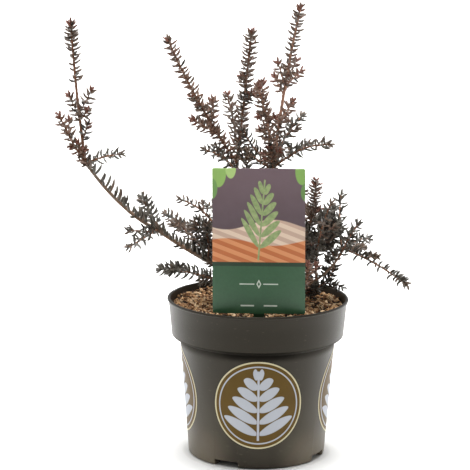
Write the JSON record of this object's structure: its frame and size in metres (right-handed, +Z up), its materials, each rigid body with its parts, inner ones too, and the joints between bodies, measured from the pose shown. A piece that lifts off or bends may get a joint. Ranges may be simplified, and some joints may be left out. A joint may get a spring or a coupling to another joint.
{
  "type": "potted podocarpus shrub",
  "caption": "Young podocarpus shrub with arching and upright dark leafy shoots, in a round banded nursery pot with bark mulch and a plant label on a stake.",
  "frame": {"origin": "centre of the pot's flat underside, on the surface it stands on", "axes": "+Z up along the pot's axis, -Y the way the plant label faces, +X to the right of someone who reads the label"},
  "size_m": [0.3768, 0.2263, 0.4731],
  "materials": {
    "pot": "satin",
    "mulch": "matte",
    "label": "satin",
    "bark": "matte",
    "foliage": "satin"
  },
  "bodies": {
    "root": {"pot": "pot", "soil": "mulch", "label": "label", "trunk": "bark", "left_bough": "bark", "left_arm": "bark", "left_leader": "bark", "right_leader": "bark", "right_bough": "bark", "right_riser": "bark", "back_bough": "bark", "back_left_bough": "bark", "front_bough": "bark", "foliage_back_low": "foliage", "foliage_back_right": "foliage", "foliage_back_side": "foliage", "foliage_back_tall": "foliage", "foliage_centre": "foliage", "foliage_cross_high": "foliage", "foliage_cross_low": "foliage", "foliage_far_left": "foliage", "foliage_front_left": "foliage", "foliage_front_right": "foliage", "foliage_label_side": "foliage", "foliage_leader_back": "foliage", "foliage_leader_left": "foliage", "foliage_leader_right": "foliage", "foliage_leader_tuft": "foliage", "foliage_left_back": "foliage", "foliage_left_crest": "foliage", "foliage_left_fork": "foliage", "foliage_left_fringe": "foliage", "foliage_left_ground": "foliage", "foliage_left_heart": "foliage", "foliage_left_low": "foliage", "foliage_left_mid": "foliage", "foliage_left_short": "foliage", "foliage_left_side": "foliage", "foliage_left_stub": "foliage", "foliage_left_tall": "foliage", "foliage_left_upper": "foliage", "foliage_middle": "foliage", "foliage_right_back": "foliage", "foliage_right_crown": "foliage", "foliage_right_droop": "foliage", "foliage_right_foot": "foliage", "foliage_right_front": "foliage", "foliage_right_heart": "foliage", "foliage_right_inner": "foliage", "foliage_right_reach": "foliage", "foliage_right_short": "foliage", "foliage_right_spray": "foliage", "foliage_right_tall": "foliage", "foliage_right_thin": "foliage", "foliage_upper_low": "foliage", "foliage_upper_short": "foliage", "foliage_upright": "foliage"}
  },
  "joints": []
}
